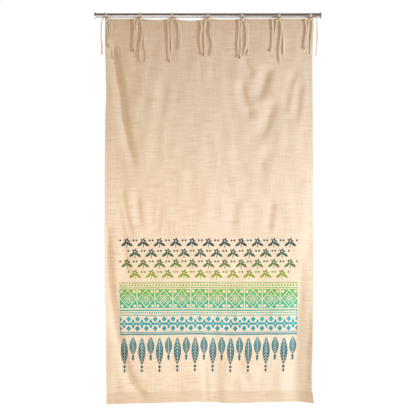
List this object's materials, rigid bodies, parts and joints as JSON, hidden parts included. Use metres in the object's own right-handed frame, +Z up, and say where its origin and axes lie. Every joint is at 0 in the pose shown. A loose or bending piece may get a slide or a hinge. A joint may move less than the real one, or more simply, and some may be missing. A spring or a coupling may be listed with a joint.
{
  "type": "tie-top curtain with its rod",
  "caption": "Flat tie-top curtain panel of natural slub cloth with a printed border, hung by knotted cloth ties from a slim round metal rod with flared end caps.",
  "frame": {"origin": "middle of the rod, on its axis, where its brackets or end walls hold the part up", "axes": "+X along the rod to the viewer's right, +Z up, and the curtain's printed face looks along -Y"},
  "size_m": [1.464, 0.0707, 2.536],
  "materials": {
    "cloth": "matt unbleached slub weave with a printed border",
    "tie_cloth": "matt unbleached slub weave, sewn double",
    "rod_metal": "satin nickel"
  },
  "bodies": {
    "root": {"curtain_panel": "cloth", "tie_1": "tie_cloth", "tie_2": "tie_cloth", "tie_3": "tie_cloth", "tie_4": "tie_cloth", "tie_5": "tie_cloth", "tie_6": "tie_cloth", "tie_7": "tie_cloth", "rod": "rod_metal", "end_cap_left": "rod_metal", "end_cap_right": "rod_metal"}
  },
  "joints": []
}
